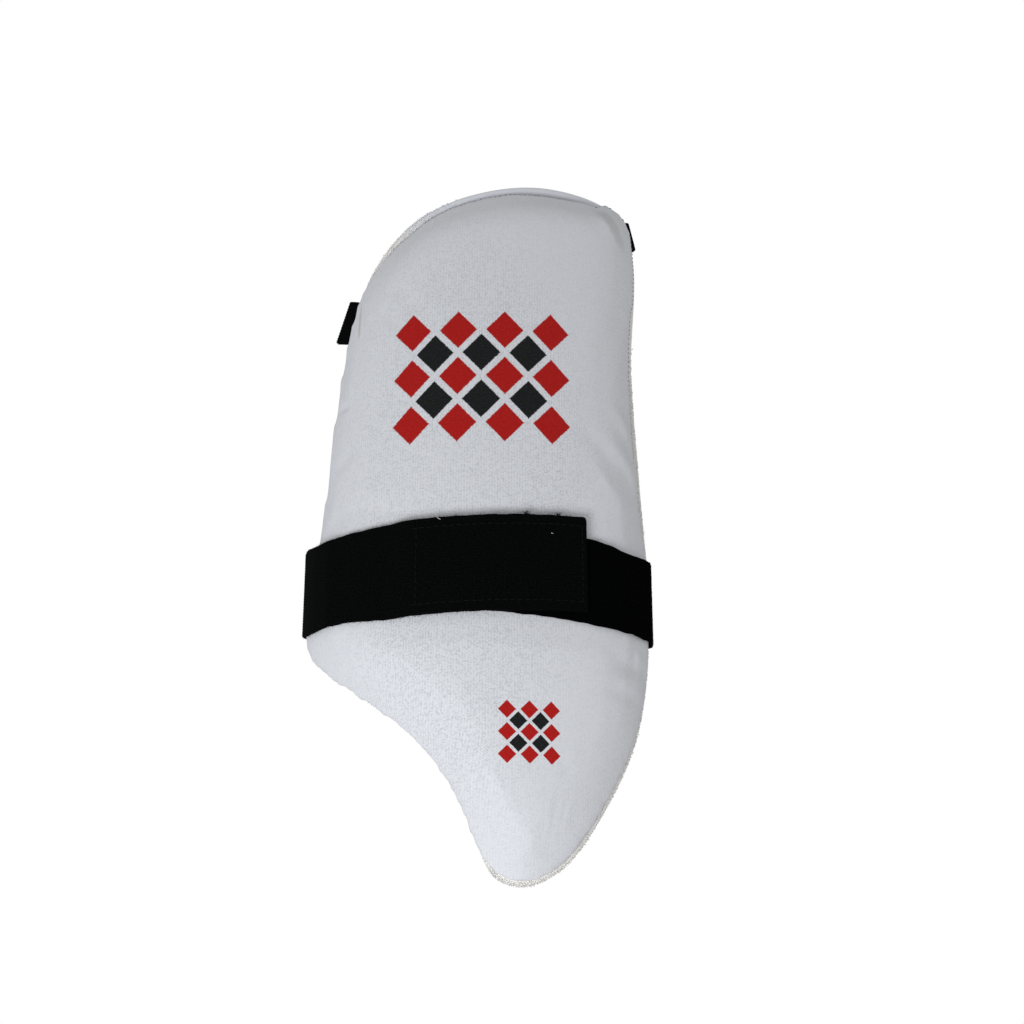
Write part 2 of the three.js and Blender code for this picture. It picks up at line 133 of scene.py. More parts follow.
# The padded front: a slab of foam about 19 mm thick under a tight cover of white woven cotton, bevelled
# at its edge and moulded round the thigh. The cover is blown up a little as a cloth skin, then bulges
# over the rim that it is sewn into and creases where the strap and the seam pull on it.
PAD_VOXEL = 3 * MM
PAD_SWELL = 1.2 * MM
PAD_SWELL_UNDER_STRAP = 0.1 * MM
# What faces out less than this is sewn down, and the rest of the cover is blown up as a stiff skin.
SEWN_FACING = 0.35
SKIN_STEPS = 20
SKIN = {
    "use_pressure": True,
    "uniform_pressure_force": 4,
    "tension_stiffness": 20,
    "compression_stiffness": 20,
    "bending_stiffness": 4,
}
STRAP_BAND = np.array((-73, -12)) * MM
STRAP_BAND_FADE = 14 * MM
THIGH_AXIS = 2.22 * MM
THIGH_FORM = {
    "along": np.array((-206.75, -56.75, 183.25)) * MM,
    "radius": np.array((108, 118, 140)) * MM,
    "crown": np.array((31.55, 39.05, 29.05)) * MM,
}
ROLL_RADIUS = 3.2 * MM
ROLL_WIDEST = ROLL_RADIUS * (1 - math.sin(math.radians(10)))
OUTLINE_CENTRE = np.array((9, -42)) * MM
OUTLINE_STEPS = 12
# How far the cover bulges out over the rim, by bearing in degrees round the middle of the guard.
EDGE_BULGE = {
    "xp": (-180, -133, -97, -86, -73, -43, 0, 27, 60, 67, 69, 71, 73, 75, 75.8, 76.5, 77.5, 79, 81.3, 84,
           88, 97, 100, 103, 106, 109, 112, 117, 121, 132, 180),
    "fp": np.array((2.4, 2.5, 3.2, 2.5, 2.2, 1.0, 0.6, 0.4, 0.7, 1.3, 1.1, 0.9, 1.2, 1.0, 0.2, -2.4, -2.2,
                    -1.9, -1.9, -1.5, -1.0, -0.8, -1.1, -1.7, -0.8, 0.6, 1.5, 1.5, 0.3, 0.5, 2.4)) * MM,
}
BULGE_HEIGHTS = (4 * MM, 9 * MM)
BULGE_FADE = (8 * MM, 24 * MM)
FACE_HEIGHTS = (8 * MM, 14 * MM)
SEAM_PUCKER = 0.3 * MM
PUCKER_FADE = 7 * MM
# Soft ridges and, with a negative rise, dents in the cover, placed in the flat cloth in mm. The lean is
# in degrees to the right going down.
SOFT_FOLDS = (
    {"at": (73, 50), "lean": 40, "length": 9, "width": 4.5, "rise": 1.0},
    {"at": (75, 27), "lean": 45, "length": 14, "width": 5, "rise": 1.2},
    {"at": (60.6, 11.5), "lean": 27, "length": 8, "width": 4, "rise": 0.8},
    {"at": (58, 30), "lean": 42, "length": 14, "width": 5, "rise": -0.6},
    {"at": (-63.5, 72), "lean": 5, "length": 11, "width": 4.5, "rise": 0.9},
    {"at": (-68, 59), "lean": 82, "length": 5, "width": 2, "rise": -0.9},
    {"at": (-65, 27), "lean": -55, "length": 9, "width": 4, "rise": -0.6},
    {"at": (73, -85), "lean": 98, "length": 13, "width": 4.5, "rise": -0.9},
    {"at": (68, -99), "lean": 84, "length": 10, "width": 4, "rise": -0.6},
    {"at": (31, -163), "lean": -4, "length": 9, "width": 1.7, "rise": 0.4},
    {"at": (35.2, -164), "lean": -8, "length": 10, "width": 1.7, "rise": 0.45},
    {"at": (39.4, -163), "lean": -12, "length": 8, "width": 1.7, "rise": 0.4},
    {"at": (59, 175), "lean": 38, "length": 16, "width": 4, "rise": 0.7},
)
# The crisp ridge down the tongue, where its bevelled left side meets its face.
TONGUE_RIDGE = {"at": (11.3, -151), "lean": 24.5, "length": 23, "width": 11, "crest": 0.7, "rise": 2.5}


def thigh_at(along):
    """Radius of the thigh form and height of its axis, at places along the guard."""
    radius = np.interp(along, THIGH_FORM["along"], THIGH_FORM["radius"])
    return radius, np.interp(along, THIGH_FORM["along"], THIGH_FORM["crown"]) - radius


def flat_pattern(points):
    """Places in the flat cloth, across and along, and the height off the thigh, of points in space."""
    radius, axis = thigh_at(points[:, 1])
    angle = np.arctan2(points[:, 0] - THIGH_AXIS, points[:, 2] - axis)
    reach = np.hypot(points[:, 0] - THIGH_AXIS, points[:, 2] - axis)
    return THIGH_AXIS + radius * angle, points[:, 1], reach - radius


def off_thigh(across, along):
    """The way straight off the thigh at places in the flat cloth."""
    angle = (across - THIGH_AXIS) / thigh_at(along)[0]
    return np.column_stack((np.sin(angle), np.zeros_like(angle), np.cos(angle)))


def wrapped(across, along, height):
    """Points in space of places in the flat cloth, at heights off the thigh."""
    radius, axis = thigh_at(along)
    centre = np.column_stack((np.full_like(along, THIGH_AXIS), along, axis))
    return centre + off_thigh(across, along) * (radius + height)[:, None]


def points_of(mesh):
    """A mesh's points as rows."""
    flat = np.empty(len(mesh.vertices) * 3)
    mesh.vertices.foreach_get("co", flat)
    return flat.reshape(-1, 3)


def normals_of(mesh):
    """The way a mesh faces at each of its points."""
    flat = np.empty(len(mesh.vertices) * 3)
    mesh.vertex_normals.foreach_get("vector", flat)
    return flat.reshape(-1, 3)


def move_points(mesh, points):
    """Puts a mesh's points at new places."""
    mesh.vertices.foreach_set("co", points.ravel())
    mesh.update()


def only(piece):
    """Selects one piece and makes it the active one."""
    bpy.ops.object.select_all(action="DESELECT")
    piece.select_set(True)
    bpy.context.view_layer.objects.active = piece


def copy_of_node(node, name):
    """A separate copy of a solid, with its loose triangles joined up."""
    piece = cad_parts[node].copy()
    piece.data = piece.data.copy()
    piece.name = piece.data.name = name
    for tag in list(piece.keys()):
        del piece[tag]
    piece.parent = None
    piece.data.materials.clear()
    bpy.context.collection.objects.link(piece)
    only(piece)
    bpy.ops.object.mode_set(mode="EDIT")
    bpy.ops.mesh.select_all(action="SELECT")
    bpy.ops.mesh.remove_doubles(threshold=0.001 * MM)
    bpy.ops.object.mode_set(mode="OBJECT")
    return piece


def finish_with(piece, kind, **settings):
    """Adds a modifier with its settings and applies it."""
    modifier = piece.modifiers.new(kind.lower(), kind)
    for name, value in settings.items():
        setattr(modifier, name, value)
    only(piece)
    bpy.ops.object.modifier_apply(modifier=modifier.name)


def smooth_step(value, start, end):
    """0 before start, 1 after end, and a smooth rise between."""
    share = np.clip((value - start) / (end - start), 0, 1)
    return share * share * (3 - 2 * share)


def unit(rows):
    """Rows of vectors made one long."""
    return rows / np.maximum(np.linalg.norm(rows, axis=-1, keepdims=True), 1e-12)


def closed_curve(points, between):
    """A smooth closed line through evenly spaced points, with more points between each two."""
    t = (np.arange(between) / between)[None, :, None]
    before, start, end, after = (np.roll(points, shift, axis=0)[:, None, :] for shift in (1, 0, -1, -2))
    square = 2 * before - 5 * start + 4 * end - after
    cube = 3 * start - before - 3 * end + after
    return (start + 0.5 * ((end - before) * t + square * t ** 2 + cube * t ** 3)).reshape(-1, 2)


def bearing_of(places):
    """The bearing of places in the flat cloth from the middle of the guard, in degrees."""
    return np.degrees(np.arctan2(places[:, 1] - OUTLINE_CENTRE[1], places[:, 0] - OUTLINE_CENTRE[0]))


def edge_of(places):
    """The step of the outline nearest to places in the flat cloth, and their depth in from it."""
    nearest = np.array([outline_tree.find((*place, 0))[1] for place in places])
    return nearest, np.sum((places - outline[nearest]) * inward[nearest], axis=1)


def wavering(length, seed):
    """A small uneven wave along a woven edge or a seam, from -1 to 1."""
    return (np.sin(length / (1.5 * MM) + seed) + np.sin(length / (2.9 * MM) + 2.3 * seed)
            + np.sin(length / (7.7 * MM) + 3.1 * seed)) / 3


def across_fold(places, fold):
    """How far places in the flat cloth are along a fold and aside of it, in its own length and width."""
    away = places - np.array(fold["at"]) * MM
    lean = math.radians(fold["lean"])
    run = away @ (math.sin(lean), -math.cos(lean))
    aside = away @ (math.cos(lean), math.sin(lean))
    return run / (fold["length"] * MM), aside / (fold["width"] * MM)


def set_cloth_places(mesh, across, along):
    """Gives each point of a cloth its place in the flat cloth, in metres, as the mesh's own map."""
    if not mesh.uv_layers:
        mesh.uv_layers.new()
    mesh.uv_layers[0].name = "flat_cloth"
    corners = np.empty(len(mesh.loops), dtype=np.int32)
    mesh.loops.foreach_get("vertex_index", corners)
    mesh.uv_layers[0].uv.foreach_set("vector", np.column_stack((across, along))[corners].ravel())


edge_across, edge_along, edge_height = flat_pattern(points_of(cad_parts["towelling_back"].data))
on_edge = np.abs(edge_height - ROLL_WIDEST) < 0.03 * MM
edge_ring = np.unique(np.column_stack((edge_across, edge_along))[on_edge].round(6), axis=0)
outline = closed_curve(edge_ring[np.argsort(bearing_of(edge_ring))], OUTLINE_STEPS)
tangent = unit(np.roll(outline, -1, axis=0) - np.roll(outline, 1, axis=0))
inward = np.column_stack((-tangent[:, 1], tangent[:, 0]))
round_outline = np.cumsum(np.linalg.norm(outline - np.roll(outline, 1, axis=0), axis=1))
outline_tree = KDTree(len(outline))
for step, place in enumerate(outline):
    outline_tree.insert((*place, 0), step)
outline_tree.balance()

front_pad = copy_of_node("padded_front", "front_pad")
finish_with(front_pad, "REMESH", mode="VOXEL", voxel_size=PAD_VOXEL)
finish_with(front_pad, "SMOOTH", factor=0.5, iterations=5)

rest = points_of(front_pad.data)
across, along, height = flat_pattern(rest)
facing_out = np.sum(normals_of(front_pad.data) * off_thigh(across, along), axis=1)
sewn = front_pad.vertex_groups.new(name="sewn")
for index in np.flatnonzero(facing_out < SEWN_FACING):
    sewn.add([int(index)], 1.0, "REPLACE")
skin = front_pad.modifiers.new("skin", "CLOTH")
skin.settings.vertex_group_mass = "sewn"
for name, value in SKIN.items():
    setattr(skin.settings, name, value)
skin.settings.effector_weights.gravity = 0
skin.collision_settings.use_collision = False
for step in range(1, SKIN_STEPS + 1):
    bpy.context.scene.frame_set(step)
only(front_pad)
bpy.ops.object.modifier_apply(modifier=skin.name)
bpy.context.scene.frame_set(1)
front_pad.vertex_groups.clear()
swell = points_of(front_pad.data) - rest
moved = np.linalg.norm(swell, axis=1)
in_strap_band = np.minimum(along - STRAP_BAND[0], STRAP_BAND[1] - along)
free_to_swell = 1 - smooth_step(in_strap_band, -STRAP_BAND_FADE, 0)
cap = PAD_SWELL_UNDER_STRAP + (PAD_SWELL - PAD_SWELL_UNDER_STRAP) * free_to_swell
move_points(front_pad.data, rest + swell * (np.minimum(moved, cap) / np.maximum(moved, 1e-9))[:, None])
finish_with(front_pad, "SUBSURF", levels=1, render_levels=1)
bpy.ops.object.shade_smooth()

across, along, height = flat_pattern(points_of(front_pad.data))
set_cloth_places(front_pad.data, across, along)
places = np.column_stack((across, along))
nearest, depth = edge_of(places)
bulge = np.interp(bearing_of(places), **EDGE_BULGE)
bulge *= smooth_step(height, *BULGE_HEIGHTS) * (1 - smooth_step(depth, *BULGE_FADE))
places = places - inward[nearest] * bulge[:, None]
on_face = smooth_step(height, *FACE_HEIGHTS)
height = height + SEAM_PUCKER * wavering(round_outline[nearest], 2) * np.exp(-depth / PUCKER_FADE) * on_face
for fold in SOFT_FOLDS:
    run, aside = across_fold(places, fold)
    height = height + fold["rise"] * MM * np.exp(-run ** 2 - aside ** 2) * on_face
run, aside = across_fold(places, TONGUE_RIDGE)
off_crest = np.sqrt(aside ** 2 + (TONGUE_RIDGE["crest"] / TONGUE_RIDGE["width"]) ** 2)
height = height + TONGUE_RIDGE["rise"] * MM * np.exp(-run ** 4 - off_crest) * on_face
move_points(front_pad.data, wrapped(*places.T, height))

# White woven cotton, washed and slightly blue: a matt plain weave, uneven in tone from one crossing of its
# threads to the next, with darker pinholes between them and thicker threads here and there. The threads
# are drawn 0.6 mm apart, coarser than the real 0.4 mm, so that they show. Red and black lozenges are
# printed on it in two fields, and it has a soft grey band near its top right corner and a thin brown mark.
COTTON = "#e0e1e4"
COTTON_SHADE = "#c4c5c8"
THREAD_SPACING = 0.6 * MM
PINHOLE_SHARE = 0.4
SLUB_SPACING = 0.9 * MM
SLUB_LENGTH = 9 * MM
# How much the ground, the crossings, the threads and the slubs each add to the cloth's tone, and their mean.
GROUND_TONE = 0.2
CROSSING_TONE = 0.46
THREAD_TONE = 0.09
SLUB_TONE = 0.2
MEAN_TONE = 0.67
CROSSING_RELIEF = 4
SLUB_RELIEF = 2
WEAVE_BUMP = 0.45
WEAVE_DEPTH = 0.1 * MM
# The cloth is stretched over the crown, so its weave is more open there than towards the edges.
CROWN = {"middle": (-5 * MM, 0), "size": (60 * MM, 170 * MM), "reach": (0.7, 1.05), "contrast": (1.4, 0.6)}
RED_INK = "#ac140f"
BLACK_INK = "#151616"
MAIN_FIELD = {"middle": (1.9, 66.3), "lozenge": (21, 27)}
SMALL_FIELD = {"middle": (22.5, -123), "lozenge": (9.2, 11)}
PRINTS = (
    {**MAIN_FIELD, "count": (4, 3), "ink": RED_INK},
    {**MAIN_FIELD, "count": (3, 2), "ink": BLACK_INK},
    {**SMALL_FIELD, "count": (3, 3), "ink": RED_INK},
    {**SMALL_FIELD, "count": (2, 2), "ink": BLACK_INK},
)
LOZENGE_SHARE = 0.43
INK_EDGE = 0.012
INK_WANDER = 0.05
INK_GRAIN = 0.9 * MM
INK_WEAR = {"From Min": 0.25, "From Max": 0.5, "To Min": 0.98}
BLOTCH_SIZE = 4 * MM
MARK_RAGGED = 0.6
MARK_EDGE = {"From Min": 1.45, "From Max": 1.0}
# A soft grey band near the top right corner, and a thin brown mark by the waist tab.
CLOTH_MARKS = (
    {"middle": (68, 168.5), "size": (4.2, 14), "turn": 27, "tone": "#b9b7b4", "strength": 0.42},
    {"middle": (-59.1, 109), "size": (0.8, 12), "turn": 2, "tone": "#b3a999", "strength": 0.5},
)

cotton, tree, shader = new_material("white_cotton")
cloth_place = add(tree, "UVMap", uv_map="flat_cloth").outputs["UV"]
cloth_axes = add(tree, "SeparateXYZ", {"Vector": cloth_place})
waves = []
for axis in ("X", "Y"):
    turn = add(tree, "Math", {0: cloth_axes.outputs[axis], 1: math.pi / THREAD_SPACING}, operation="MULTIPLY")
    waves.append(add(tree, "Math", {0: turn.outputs[0]}, operation="SINE").outputs[0])
weave = add(tree, "Math", {0: waves[0], 1: waves[1]}, operation="MULTIPLY")
slub_place = add(tree, "Mapping", {"Vector": cloth_place, "Scale": (1 / SLUB_SPACING, 1 / SLUB_LENGTH, 1)})
slubs = add(tree, "TexNoise", {"Vector": slub_place.outputs[0], "Scale": 1, "Detail": 2}).outputs["Fac"]
thread_height = add(tree, "Math", {0: slubs, 1: SLUB_RELIEF, 2: weave.outputs[0]},
                    operation="MULTIPLY_ADD").outputs[0]
crossing = add(tree, "VectorMath", {0: cloth_place, 1: (THREAD_SPACING, THREAD_SPACING, 1)}, operation="SNAP")
crossing_tone = add(tree, "TexWhiteNoise", {"Vector": crossing.outputs[0]}).outputs["Value"]
thread_tone = add(tree, "MapRange", {"Value": crossing_tone, "From Max": PINHOLE_SHARE,
                                     "To Max": CROSSING_TONE}).outputs[0]
thread_height = add(tree, "Math", {0: thread_tone, 1: CROSSING_RELIEF, 2: thread_height},
                    operation="MULTIPLY_ADD").outputs[0]
for part, share in ((waves[0], THREAD_TONE), (slubs, SLUB_TONE)):
    thread_tone = add(tree, "Math", {0: part, 1: share, 2: thread_tone}, operation="MULTIPLY_ADD").outputs[0]
off_mean = add(tree, "Math", {0: thread_tone, 1: GROUND_TONE - MEAN_TONE}, operation="ADD").outputs[0]
crown_place = add(tree, "Mapping", {"Vector": cloth_place, "Location": (*CROWN["middle"], 0),
                                    "Scale": (*CROWN["size"], 1)}, vector_type="TEXTURE")
off_crown = add(tree, "VectorMath", {0: crown_place.outputs[0]}, operation="LENGTH").outputs["Value"]
openness = add(tree, "MapRange", {"Value": off_crown,
                                  "From Min": CROWN["reach"][0], "From Max": CROWN["reach"][1],
                                  "To Min": CROWN["contrast"][0], "To Max": CROWN["contrast"][1]}).outputs[0]
thread_tone = add(tree, "Math", {0: off_mean, 1: openness, 2: MEAN_TONE}, operation="MULTIPLY_ADD").outputs[0]
cloth_colour = add(tree, "MixRGB", {"Fac": thread_tone, "Color1": colour(COTTON_SHADE),
                                    "Color2": colour(COTTON)}).outputs[0]
blotches = add(tree, "TexNoise", {"Vector": cloth_place, "Scale": 1 / BLOTCH_SIZE,
                                  "Detail": 3}).outputs["Fac"]
for mark in CLOTH_MARKS:
    spot = add(tree, "Mapping", {"Vector": cloth_place, "Location": (*(np.array(mark["middle"]) * MM), 0),
                                 "Rotation": (0, 0, math.radians(mark["turn"])),
                                 "Scale": (*(np.array(mark["size"]) * MM), 1)}, vector_type="TEXTURE")
    reach = add(tree, "VectorMath", {0: spot.outputs[0]}, operation="LENGTH")
    ragged = add(tree, "Math", {0: blotches, 1: MARK_RAGGED, 2: reach.outputs["Value"]},
                 operation="MULTIPLY_ADD")
    marked = add(tree, "MapRange", {"Value": ragged.outputs[0], "To Max": mark["strength"], **MARK_EDGE})
    cloth_colour = add(tree, "MixRGB", {"Fac": marked.outputs[0], "Color1": cloth_colour,
                                        "Color2": colour(mark["tone"])}).outputs[0]
ink_grain = add(tree, "TexNoise", {"Vector": cloth_place, "Scale": 1 / INK_GRAIN, "Detail": 1}).outputs["Fac"]
ink_wear = add(tree, "MapRange", {"Value": ink_grain, **INK_WEAR}).outputs[0]
for field in PRINTS:
    lozenge = np.array(field["lozenge"]) * MM
    shift = -np.array(field["middle"]) * MM / lozenge
    cells = add(tree, "Mapping", {"Vector": cloth_place, "Location": (*shift, 0),
                                  "Scale": (*(1 / lozenge), 1)})
    cell_axes = add(tree, "SeparateXYZ", {"Vector": cells.outputs[0]})
    cover = ink_wear
    reach = ink_grain
    for axis, count in zip("XY", field["count"]):
        from_middle = cell_axes.outputs[axis]
        in_step = add(tree, "Math", {0: from_middle, 1: (count + 1) % 2 / 2}, operation="ADD")
        off_centre = add(tree, "Math", {0: in_step.outputs[0], 1: 0.5}, operation="PINGPONG")
        share = INK_WANDER if axis == "X" else 1
        reach = add(tree, "Math", {0: reach, 1: share, 2: off_centre.outputs[0]},
                    operation="MULTIPLY_ADD").outputs[0]
        distance = add(tree, "Math", {0: from_middle}, operation="ABSOLUTE")
        inside = add(tree, "Math", {0: distance.outputs[0], 1: count / 2}, operation="LESS_THAN")
        cover = add(tree, "Math", {0: cover, 1: inside.outputs[0]}, operation="MULTIPLY").outputs[0]
    inked = add(tree, "MapRange", {"Value": reach, "From Min": LOZENGE_SHARE + INK_EDGE,
                                   "From Max": LOZENGE_SHARE - INK_EDGE})
    cover = add(tree, "Math", {0: cover, 1: inked.outputs[0]}, operation="MULTIPLY")
    cloth_colour = add(tree, "MixRGB", {"Fac": cover.outputs[0], "Color1": cloth_colour,
                                        "Color2": colour(field["ink"])}).outputs[0]
tree.links.new(cloth_colour, shader.inputs["Base Color"])
shader.inputs["Roughness"].default_value = 0.9
shader.inputs["Specular IOR Level"].default_value = 0.2
bump_strength = add(tree, "Math", {0: openness, 1: WEAVE_BUMP}, operation="MULTIPLY").outputs[0]
weave_bump = add(tree, "Bump", {"Height": thread_height, "Strength": bump_strength, "Distance": WEAVE_DEPTH})
tree.links.new(weave_bump.outputs[0], shader.inputs["Normal"])
front_pad.data.materials.append(cotton)
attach(front_pad, "root")
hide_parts("padded_front")

# The towelling back: one panel of cream terry, rolled over a cord all round to make the rim that the
# front is sewn into. Its face is a pile of uncut loops, which stand up on the rim and on the thigh side.
# Along the top the rim is faced with smooth cloth, and the loops thin out towards it.
LOOP_THREAD = 0.24 * MM
LOOP_LEAN = 0.4
RIM_LOOP = {"span": 1.3 * MM, "rise": 0.85 * MM, "sunk": 0.8 * MM, "points": 5}
BACK_LOOP = {"spacing": 2.4 * MM, "span": 1.9 * MM, "rise": 1.5 * MM, "sunk": 0.4 * MM, "points": 4}
BACK_SCATTER = 0.3
RIM_TURNS = np.radians(np.arange(-70, 140, 25))
SMOOTH_BEARING = 79
SMOOTH_REACH = (15, 23)
# How far the rim is drawn in at the upper left, by bearing.
RIM_DRAWN = {"xp": (95, 100, 104, 107, 110), "fp": np.array((0, 0.8, 1.1, 0.6, 0)) * MM}
DRAWN_FADE = (8 * MM, 20 * MM)
CLEAR_OF_LOOPS = 2.4 * MM
CLEAR_FROM = 0.3 * MM
BACK_REACH = 230 * MM
draw = np.random.default_rng(7)


def thread_mesh(name, paths, radius, sides=3):
    """One mesh of many short thin threads, each a tube along its own row of points."""
    count, steps = paths.shape[:2]
    ahead = unit(np.gradient(paths, axis=1))
    flat_side = unit(np.cross(paths[:, steps // 2] - paths[:, 0], paths[:, -1] - paths[:, 0]))
    flat_side = flat_side[:, None, :].repeat(steps, axis=1)
    raised_side = unit(np.cross(ahead, flat_side))
    turns = 2 * math.pi * np.arange(sides)[:, None] / sides
    around = np.cos(turns) * raised_side[:, :, None, :] + np.sin(turns) * flat_side[:, :, None, :]
    points = (paths[:, :, None, :] + radius * around).reshape(-1, 3)
    first = np.arange(count)[:, None, None] * steps * sides
    here = first + np.arange(steps - 1)[:, None] * sides + np.arange(sides)
    beside = first + np.arange(steps - 1)[:, None] * sides + (np.arange(sides) + 1) % sides
    walls = np.stack((here, here + sides, beside + sides, beside), axis=-1).reshape(-1, 4)
    start_caps = first[:, 0] + np.arange(sides)
    end_caps = first[:, 0] + steps * sides - 1 - np.arange(sides)
    mesh = bpy.data.meshes.new(name)
    mesh.from_pydata(points.tolist(), [], walls.tolist() + start_caps.tolist() + end_caps.tolist())
    piece = bpy.data.objects.new(name, mesh)
    bpy.context.collection.objects.link(piece)
    only(piece)
    bpy.ops.object.shade_smooth()
    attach(piece, "root")
    return piece


def loop_paths(feet, up, loop):
    """Arched paths of pile loops that stand on their feet, each leaning and turned its own way."""
    lean = unit(up + LOOP_LEAN * draw.normal(size=up.shape))
    heading = unit(np.cross(lean, draw.normal(size=up.shape)))
    turn = np.linspace(0, math.pi, loop["points"])[None, :, None]
    out = heading[:, None, :] * (loop["span"] / 2) * np.cos(turn)
    return feet[:, None, :] + out + lean[:, None, :] * (loop["rise"] * np.sin(turn) - loop["sunk"])


def search_tree(piece):
    """A tree of a piece's faces, to find what is near or in the way."""
    faces = [list(face.vertices) for face in piece.data.polygons]
    return BVHTree.FromPolygons([point.co for point in piece.data.vertices], faces)


def in_the_clear(feet, up, trees):
    """Which feet have nothing of some pieces right above them."""
    starts = (feet - CLEAR_FROM * up).tolist()
    return np.array([all(tree.ray_cast(start, way, CLEAR_OF_LOOPS)[0] is None for tree in trees)
                     for start, way in zip(starts, up.tolist())])


def roll_place(turn):
    """Feet on the rolled rim, all round the outline, at a turn up from its outermost line."""
    drawn = np.interp(bearing_of(outline), **RIM_DRAWN)
    place = outline + inward * (ROLL_RADIUS * (1 - math.cos(turn)) + drawn)[:, None]
    height = np.full(len(place), ROLL_RADIUS * (1 + math.sin(turn)))
    off = off_thigh(*place.T)
    inward_way = inward[:, :1] * np.column_stack((off[:, 2], np.zeros(len(off)), -off[:, 0]))
    inward_way[:, 1] = inward[:, 1]
    return wrapped(*place.T, height), unit(off * math.sin(turn) - inward_way * math.cos(turn))


towelling_panel = copy_of_node("towelling_back", "towelling_panel")
bpy.ops.object.mode_set(mode="EDIT")
bpy.ops.mesh.tris_convert_to_quads()
bpy.ops.object.mode_set(mode="OBJECT")
finish_with(towelling_panel, "SUBSURF", levels=2, render_levels=2)
bpy.ops.object.shade_smooth()
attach(towelling_panel, "root")
across, along, height = flat_pattern(points_of(towelling_panel.data))
places = np.column_stack((across, along))
nearest, depth = edge_of(places)
drawn = np.interp(bearing_of(places), **RIM_DRAWN) * (1 - smooth_step(depth, *DRAWN_FADE))
move_points(towelling_panel.data, wrapped(*(places + inward[nearest] * drawn[:, None]).T, height))

straps = ("leg_strap", "loop_tape", "waist_tab", "waist_strap")
pad_tree = search_tree(front_pad)
strap_trees = [search_tree(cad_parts[node]) for node in straps]
loop_share = smooth_step(np.abs(bearing_of(outline) - SMOOTH_BEARING), *SMOOTH_REACH)
feet, up = [], []
for row, turn in enumerate(RIM_TURNS):
    row_feet, row_up = roll_place(turn)
    kept = draw.random(len(outline)) < loop_share
    kept[(row + 1) % 2::2] = False
    feet.append(row_feet[kept])
    up.append(row_up[kept])
feet, up = np.concatenate(feet), np.concatenate(up)
clear = in_the_clear(feet, up, [pad_tree, *strap_trees])
rim_loops = thread_mesh("rim_loops", loop_paths(feet[clear], up[clear], RIM_LOOP), LOOP_THREAD)

spread = np.arange(-BACK_REACH, BACK_REACH, BACK_LOOP["spacing"])
grid = np.stack(np.meshgrid(spread, spread), axis=-1).reshape(-1, 2)
grid = grid + draw.uniform(-BACK_SCATTER, BACK_SCATTER, grid.shape) * BACK_LOOP["spacing"]
grid = grid[edge_of(grid)[1] > ROLL_RADIUS]
feet = wrapped(*grid.T, np.zeros(len(grid)))
up = -off_thigh(*grid.T)
clear = in_the_clear(feet, up, strap_trees)
back_loops = thread_mesh("back_loops", loop_paths(feet[clear], up[clear], BACK_LOOP), LOOP_THREAD)

# Cream cotton terry, unbleached and matt, a little uneven in tone from patch to patch. The smooth stretch
# along the top is whiter.
TERRY_PATCH = 3 * MM
TOP_FACING = (160 * MM, 178 * MM)
terry, tree, shader = new_material("cream_terry")
place = add(tree, "TexCoord").outputs["Object"]
patches = add(tree, "TexNoise", {"Vector": place, "Scale": 1 / TERRY_PATCH, "Detail": 3})
terry_colour = add(tree, "MixRGB", {"Fac": patches.outputs["Fac"], "Color1": colour("#e6e3de"),
                                    "Color2": colour("#f7f5f1")})
place_axes = add(tree, "SeparateXYZ", {"Vector": place})
along_top = add(tree, "MapRange", {"Value": place_axes.outputs["Y"],
                                   "From Min": TOP_FACING[0], "From Max": TOP_FACING[1]})
terry_colour = add(tree, "MixRGB", {"Fac": along_top.outputs[0], "Color1": terry_colour.outputs[0],
                                    "Color2": colour("#e3e5e9")})
tree.links.new(terry_colour.outputs[0], shader.inputs["Base Color"])
shader.inputs["Roughness"].default_value = 1
shader.inputs["Specular IOR Level"].default_value = 0.1
for piece in (towelling_panel, rim_loops, back_loops):
    piece.data.materials.append(terry)
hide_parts("towelling_back")

# The seam up the right edge and along the top: a row of short cotton stitches, 2.8 mm apart, that sew
# the cover to the rolled rim. Their dark grey is partly the thread's own grey and partly painted shade of
# the groove between the cover and the rim. Elsewhere the cover bulges over the seam and hides it.
SEAM_BEARINGS = (20, 108)
SEAM_DEPTH = 6 * MM
SEAM_HEIGHT = 9 * MM
SEAM_STITCH = {"length": 1.2 * MM, "rise": 0.2 * MM, "spacing": 2.8 * MM, "thread": 0.25 * MM}
THREAD_TWIST = 0.5 * MM
STITCH_SHARES = np.linspace(0, 1, 5)


def mottled(name, spot, tones, roughness, specular, detail=2):
    """A plain material whose colour wanders between two tones, in spots of a real size."""
    made, tree, shader = new_material(name)
    place = add(tree, "TexCoord").outputs["Object"]
    spots = add(tree, "TexNoise", {"Vector": place, "Scale": 1 / spot, "Detail": detail})
    mixed = add(tree, "MixRGB", {"Fac": spots.outputs["Fac"], "Color1": colour(tones[0]),
                                 "Color2": colour(tones[1])})
    tree.links.new(mixed.outputs[0], shader.inputs["Base Color"])
    shader.inputs["Roughness"].default_value = roughness
    shader.inputs["Specular IOR Level"].default_value = specular
    return made


